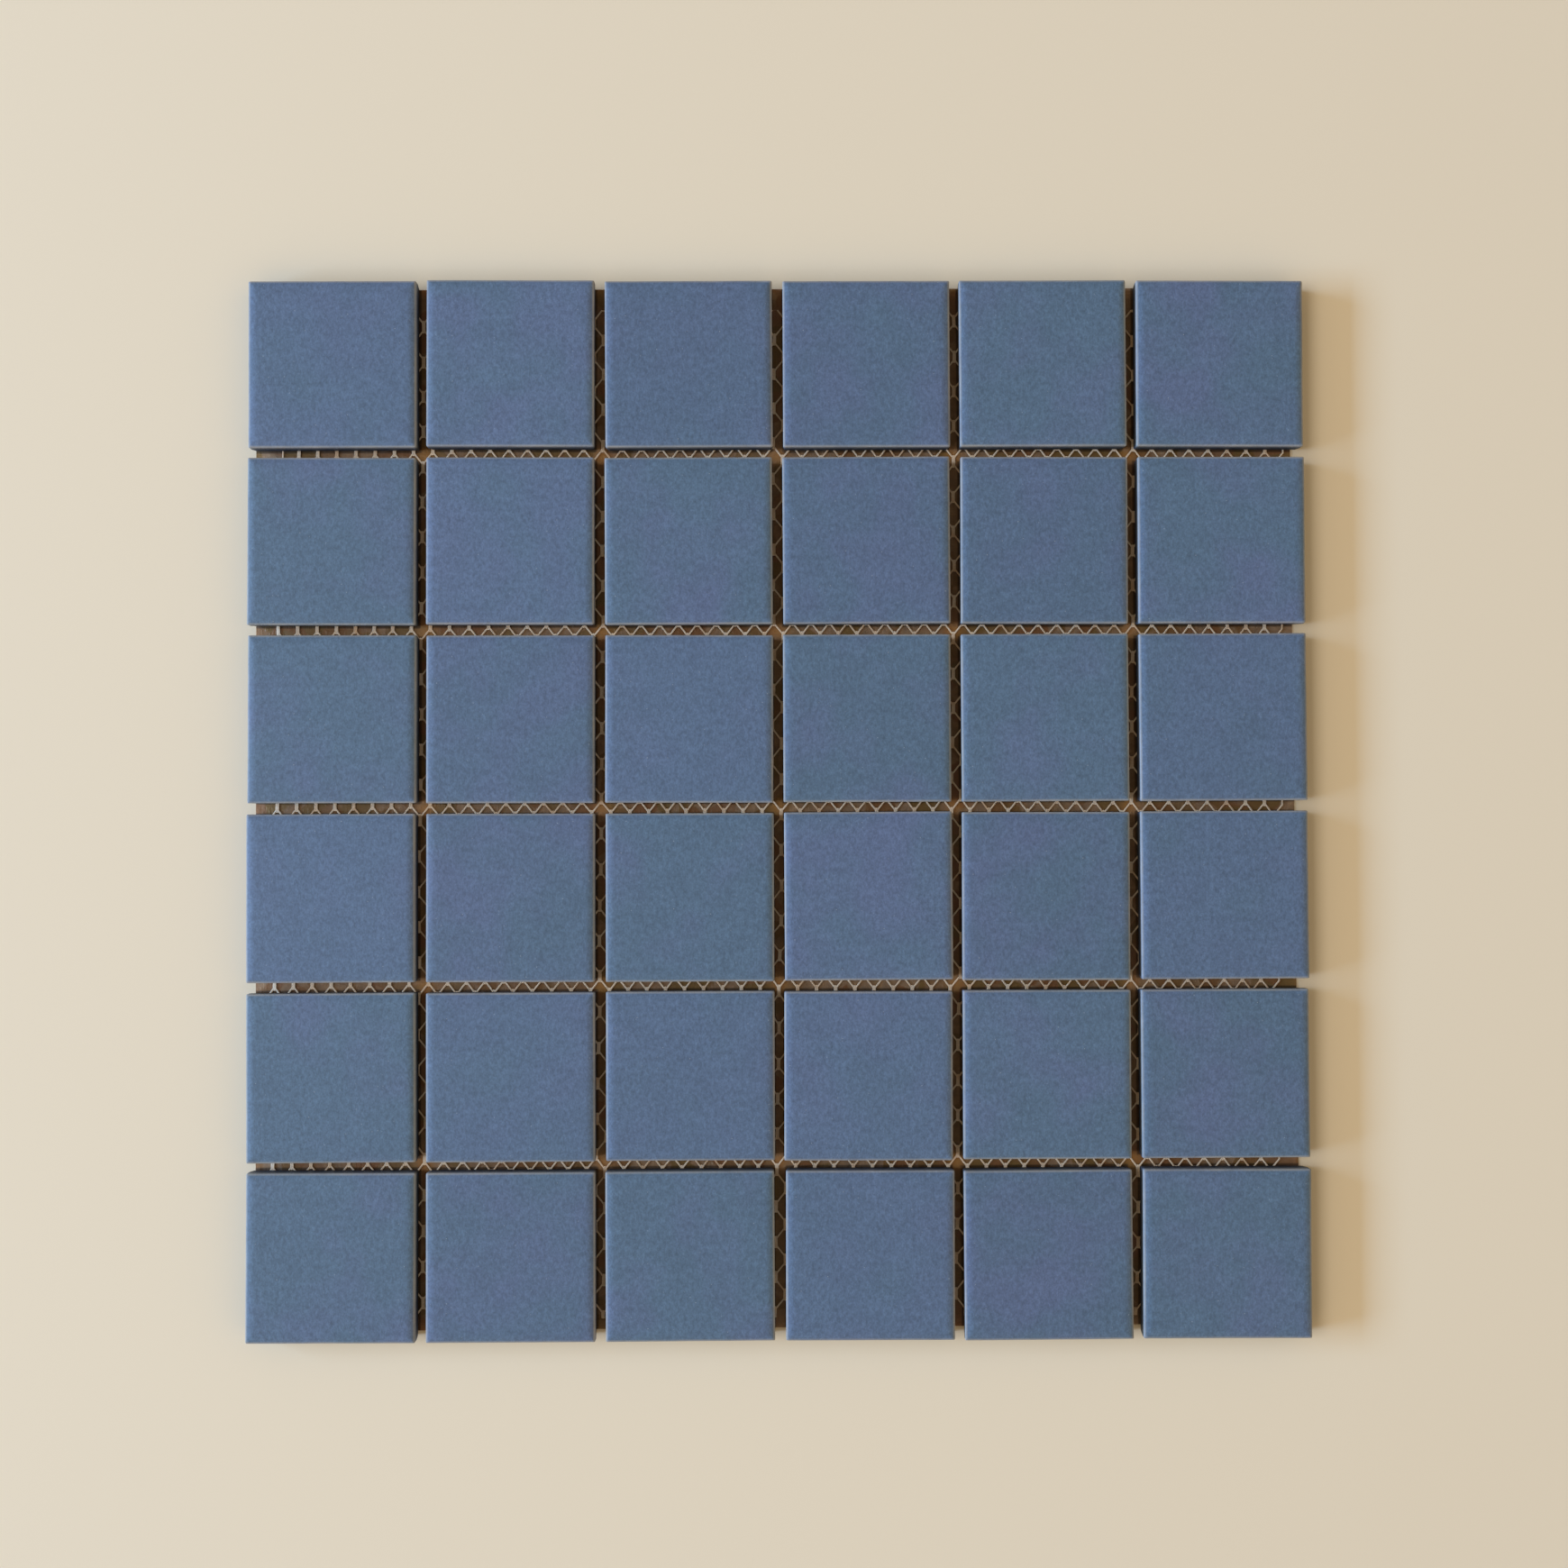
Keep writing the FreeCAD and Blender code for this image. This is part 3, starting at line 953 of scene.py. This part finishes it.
def soft_lamp(name, elevation, width, height, colour):
    """A rectangular lamp on the left that faces the middle of the sheet.

    Its colour is the light that it gives a level surface there, as a share of full white: a lamp of
    power P at distance d and elevation e gives P times the sine of e, over pi squared and d squared.
    """
    data = bpy.data.lights.new(name, "AREA")
    data.shape = "RECTANGLE"
    data.size = width
    data.size_y = height
    data.energy = max(colour) * (math.pi * LAMP_DISTANCE) ** 2 / math.sin(elevation)
    data.color = [channel / max(colour) for channel in colour]
    lamp = bpy.data.objects.new(name, data)
    towards = Vector((-math.cos(elevation), 0, math.sin(elevation)))
    lamp.location = towards * LAMP_DISTANCE
    lamp.rotation_euler = towards.to_track_quat("Z", "Y").to_euler()
    bpy.context.scene.collection.objects.link(lamp)
    print(name, round(data.energy), "watts")


for window in WINDOWS:
    soft_lamp(*window)

# %% [markdown]
# The room
#
# Light that comes off walls and ceiling has no one place, so the world gives it, instead of more
# lamps. Its strength depends only on the direction that it comes from.

# %% Light from the room
ROOM_LIGHT = (0.91, 0.70, 0.455, 1)
OVERHEAD = (0.60, 0.92, 1, 0.12)
NEAR_TO_FAR = (-0.6, 0.6, 1.3, 0.7)
TO_THE_SIDES = (0, 1, 0.80, 1.32)


def room_light():
    """Warm light, shaded overhead where the camera is, and strongest from the near side and the sides.

    Its strength is the product of three ranges: of the height z of a direction, of its y, and of x
    times x, which is the same on both sides.
    """
    world = bpy.data.worlds.new("room")
    bpy.context.scene.world = world
    world.use_nodes = True
    nodes, links = world.node_tree.nodes, world.node_tree.links
    background = nodes["Background"]
    background.inputs["Color"].default_value = ROOM_LIGHT
    direction = nodes.new("ShaderNodeSeparateXYZ")
    links.new(nodes.new("ShaderNodeTexCoord").outputs["Generated"], direction.inputs["Vector"])

    def product(first, second):
        made = nodes.new("ShaderNodeMath")
        made.operation = "MULTIPLY"
        links.new(first, made.inputs[0])
        links.new(second, made.inputs[1])
        return made.outputs["Value"]

    def ramp(value, ends):
        made = nodes.new("ShaderNodeMapRange")
        for socket, end in zip(("From Min", "From Max", "To Min", "To Max"), ends):
            made.inputs[socket].default_value = end
        links.new(value, made.inputs["Value"])
        return made.outputs["Result"]

    x, y, z = (direction.outputs[axis] for axis in "XYZ")
    strength = product(ramp(z, OVERHEAD), ramp(y, NEAR_TO_FAR))
    strength = product(strength, ramp(product(x, x), TO_THE_SIDES))
    links.new(strength, background.inputs["Strength"])


room_light()
bpy.context.scene.view_settings.view_transform = "Standard"

# %% [markdown]
# The camera
#
# The camera looks down on the sheet. It isn't turned to it with a Track To constraint, because the
# view that it has to match is a little off square. Its place, direction and roll say just how.

# %% Camera
CAMERA_AT = Vector((-2.40, -1.86, 448.2)) * MM
CAMERA_LOOKS = Vector((0.00887, 0.01925, -0.99977))
CAMERA_ROLL = math.radians(0.204)
CAMERA_LENS = 35.52


def photo_camera():
    """Looks almost straight down. Its up direction is the sheet's +Y, turned by the small roll."""
    data = bpy.data.cameras.new("camera")
    data.lens = CAMERA_LENS
    data.sensor_width = 36
    camera = bpy.data.objects.new("camera", data)
    back = -CAMERA_LOOKS.normalized()
    up = Vector((math.sin(CAMERA_ROLL), math.cos(CAMERA_ROLL), 0))
    right = up.cross(back).normalized()
    up = back.cross(right)
    camera.matrix_world = Matrix.Translation(CAMERA_AT) @ Matrix((right, up, back)).transposed().to_4x4()
    bpy.context.scene.collection.objects.link(camera)
    bpy.context.scene.camera = camera


photo_camera()
print("camera", round(CAMERA_AT.z / MM), "mm above the floor")
